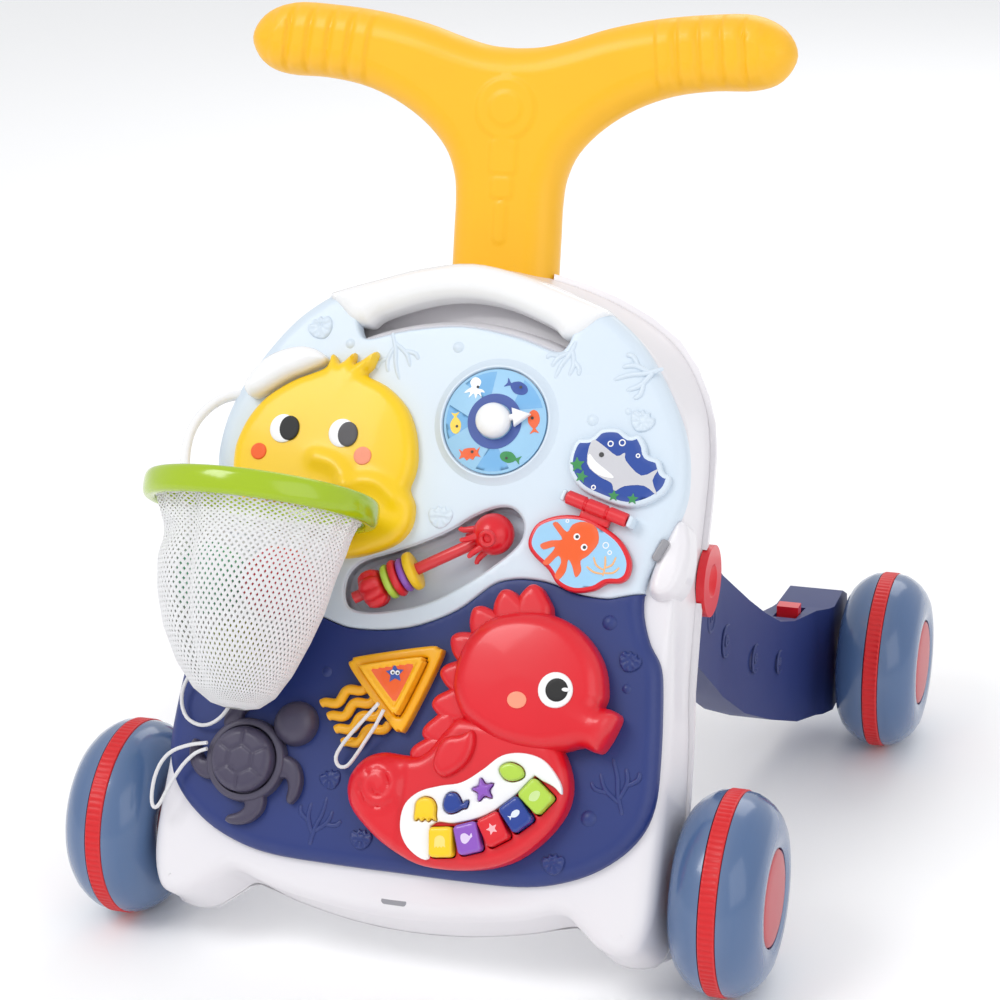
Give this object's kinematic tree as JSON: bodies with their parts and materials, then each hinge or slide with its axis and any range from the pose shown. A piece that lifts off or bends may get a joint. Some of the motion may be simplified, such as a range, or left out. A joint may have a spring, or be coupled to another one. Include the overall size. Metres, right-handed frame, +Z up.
{
  "type": "baby walker",
  "caption": "Push-along baby walker with a leaning shell frame, folding rear legs, wide wheels, a T-shaped push handle and a detachable sea-themed play panel with a net.",
  "frame": {"origin": "on the floor, under the middle of the walker's footprint", "axes": "+X to the right as seen from the front, -Y out of the front face, +Z up"},
  "size_m": [0.4212, 0.4309, 0.4628],
  "materials": {
    "white_plastic": "satin",
    "yellow_plastic": "satin",
    "pale_blue_plastic": "satin",
    "navy_plastic": "satin",
    "leg_blue_plastic": "satin",
    "red_plastic": "gloss",
    "wheel_blue_plastic": "gloss",
    "lime_plastic": "gloss",
    "orange_plastic": "gloss",
    "grey_plastic": "satin",
    "purple_plastic": "gloss",
    "blue_plastic": "gloss",
    "printed_card": "gloss",
    "steel": "brushed",
    "net_fabric": "knitted mesh",
    "string": "braided",
    "ball_plastic": "satin",
    "dark_plastic": "matte",
    "battery_metal": "gloss",
    "circuit_green": "satin"
  },
  "bodies": {
    "frame": {"frame_front_shell": "white_plastic", "frame_rear_shell": "white_plastic", "frame_screws": "steel", "side_latches": "white_plastic", "front_axle": "steel", "push_handle": "yellow_plastic", "hinge_pins": "red_plastic", "panel_upper": "pale_blue_plastic", "panel_lower": "navy_plastic", "carry_handle": "white_plastic", "panel_back": "white_plastic", "battery_door": "white_plastic", "batteries": "battery_metal", "circuit_board": "circuit_green", "speaker": "dark_plastic", "duck_head": "yellow_plastic", "net_hoop": "lime_plastic", "net_bag": "net_fabric", "net_balls": "ball_plastic", "fishing_rod": "white_plastic", "net_string": "string", "shark_plate": "printed_card", "bead_rail": "red_plastic", "seahorse_body": "red_plastic", "key_plate": "white_plastic", "turtle_base": "grey_plastic", "jelly_base": "orange_plastic"},
    "wheel_front_left": {"wheel_core_fl": "red_plastic", "wheel_tyre_fl": "wheel_blue_plastic"},
    "wheel_front_right": {"wheel_core_fr": "red_plastic", "wheel_tyre_fr": "wheel_blue_plastic"},
    "wheel_rear_left": {"wheel_core_rl": "red_plastic", "wheel_tyre_rl": "wheel_blue_plastic"},
    "wheel_rear_right": {"wheel_core_rr": "red_plastic", "wheel_tyre_rr": "wheel_blue_plastic"},
    "leg_left": {"leg_left": "leg_blue_plastic", "rear_axle_left": "steel"},
    "leg_right": {"leg_right": "leg_blue_plastic", "rear_axle_right": "steel"},
    "brake_left": {"brake_lever_left": "red_plastic"},
    "brake_right": {"brake_lever_right": "red_plastic"},
    "dial": {"dial_disc": "printed_card"},
    "dial_pointer": {"dial_knob": "white_plastic"},
    "flap": {"octopus_flap": "red_plastic"},
    "beads": {"ring_beads": "lime_plastic"},
    "turtle": {"turtle_plug": "grey_plastic", "turtle_string": "string"},
    "jelly": {"jelly_plug": "orange_plastic", "jelly_string": "string"},
    "release": {"release_tab": "white_plastic"},
    "key_1": {"key_1": "yellow_plastic"},
    "key_2": {"key_2": "purple_plastic"},
    "key_3": {"key_3": "red_plastic"},
    "key_4": {"key_4": "blue_plastic"},
    "key_5": {"key_5": "lime_plastic"},
    "button_1": {"button_1": "yellow_plastic"},
    "button_2": {"button_2": "blue_plastic"},
    "button_3": {"button_3": "purple_plastic"},
    "button_4": {"button_4": "lime_plastic"}
  },
  "joints": [
    {"name": "front_wheel_left_spin", "type": "hinge", "parent": "frame", "child": "wheel_front_left", "pos_m": [-0.165, -0.144, 0.0525], "axis": [1, 0, 0], "continuous": true},
    {"name": "leg_left_fold", "type": "hinge", "parent": "frame", "child": "leg_left", "pos_m": [-0.113, -0.05257, 0.18277], "axis": [1, 0, 0], "range_deg": [-62, 0]},
    {"name": "rear_wheel_left_spin", "type": "hinge", "parent": "leg_left", "child": "wheel_rear_left", "pos_m": [-0.187, 0.164, 0.0525], "axis": [1, 0, 0], "continuous": true},
    {"name": "brake_left_rock", "type": "hinge", "parent": "leg_left", "child": "brake_left", "pos_m": [-0.1355, 0.12643, 0.08177], "axis": [1, 0, 0], "range_deg": [0, 30]},
    {"name": "front_wheel_right_spin", "type": "hinge", "parent": "frame", "child": "wheel_front_right", "pos_m": [0.165, -0.144, 0.0525], "axis": [1, 0, 0], "continuous": true},
    {"name": "leg_right_fold", "type": "hinge", "parent": "frame", "child": "leg_right", "pos_m": [0.113, -0.05257, 0.18277], "axis": [1, 0, 0], "range_deg": [-62, 0]},
    {"name": "rear_wheel_right_spin", "type": "hinge", "parent": "leg_right", "child": "wheel_rear_right", "pos_m": [0.187, 0.164, 0.0525], "axis": [1, 0, 0], "continuous": true},
    {"name": "brake_right_rock", "type": "hinge", "parent": "leg_right", "child": "brake_right", "pos_m": [0.1355, 0.12643, 0.08177], "axis": [1, 0, 0], "range_deg": [0, 30]},
    {"name": "dial_spin", "type": "hinge", "parent": "frame", "child": "dial", "pos_m": [0.025, -0.07823, 0.27033], "axis": [0, -0.866, 0.5], "continuous": true},
    {"name": "pointer_spin", "type": "hinge", "parent": "frame", "child": "dial_pointer", "pos_m": [0.025, -0.08256, 0.27283], "axis": [0, -0.866, 0.5], "continuous": true},
    {"name": "flap_turn", "type": "hinge", "parent": "frame", "child": "flap", "pos_m": [0.086, -0.1022, 0.23683], "axis": [0.9593, -0.1412, -0.2445], "range_deg": [-168, 0]},
    {"name": "beads_slide", "type": "slide", "parent": "frame", "child": "beads", "axis": [0.8712, 0.2455, 0.4251], "range_m": [0, 0.028]},
    {"name": "turtle_pull", "type": "slide", "parent": "frame", "child": "turtle", "axis": [0, -0.866, 0.5], "range_m": [0, 0.03]},
    {"name": "jelly_pull", "type": "slide", "parent": "frame", "child": "jelly", "axis": [0, -0.866, 0.5], "range_m": [0, 0.03]},
    {"name": "release_press", "type": "slide", "parent": "frame", "child": "release", "axis": [0, 0.866, -0.5], "range_m": [0, 0.002], "stiffness_N_per_m": 300},
    {"name": "key_1_press", "type": "slide", "parent": "frame", "child": "key_1", "axis": [0, 0.866, -0.5], "range_m": [0, 0.002], "stiffness_N_per_m": 300},
    {"name": "key_2_press", "type": "slide", "parent": "frame", "child": "key_2", "axis": [0, 0.866, -0.5], "range_m": [0, 0.002], "stiffness_N_per_m": 300},
    {"name": "key_3_press", "type": "slide", "parent": "frame", "child": "key_3", "axis": [0, 0.866, -0.5], "range_m": [0, 0.002], "stiffness_N_per_m": 300},
    {"name": "key_4_press", "type": "slide", "parent": "frame", "child": "key_4", "axis": [0, 0.866, -0.5], "range_m": [0, 0.002], "stiffness_N_per_m": 300},
    {"name": "key_5_press", "type": "slide", "parent": "frame", "child": "key_5", "axis": [0, 0.866, -0.5], "range_m": [0, 0.002], "stiffness_N_per_m": 300},
    {"name": "button_1_press", "type": "slide", "parent": "frame", "child": "button_1", "axis": [0, 0.866, -0.5], "range_m": [0, 0.002], "stiffness_N_per_m": 300},
    {"name": "button_2_press", "type": "slide", "parent": "frame", "child": "button_2", "axis": [0, 0.866, -0.5], "range_m": [0, 0.002], "stiffness_N_per_m": 300},
    {"name": "button_3_press", "type": "slide", "parent": "frame", "child": "button_3", "axis": [0, 0.866, -0.5], "range_m": [0, 0.002], "stiffness_N_per_m": 300},
    {"name": "button_4_press", "type": "slide", "parent": "frame", "child": "button_4", "axis": [0, 0.866, -0.5], "range_m": [0, 0.002], "stiffness_N_per_m": 300}
  ]
}
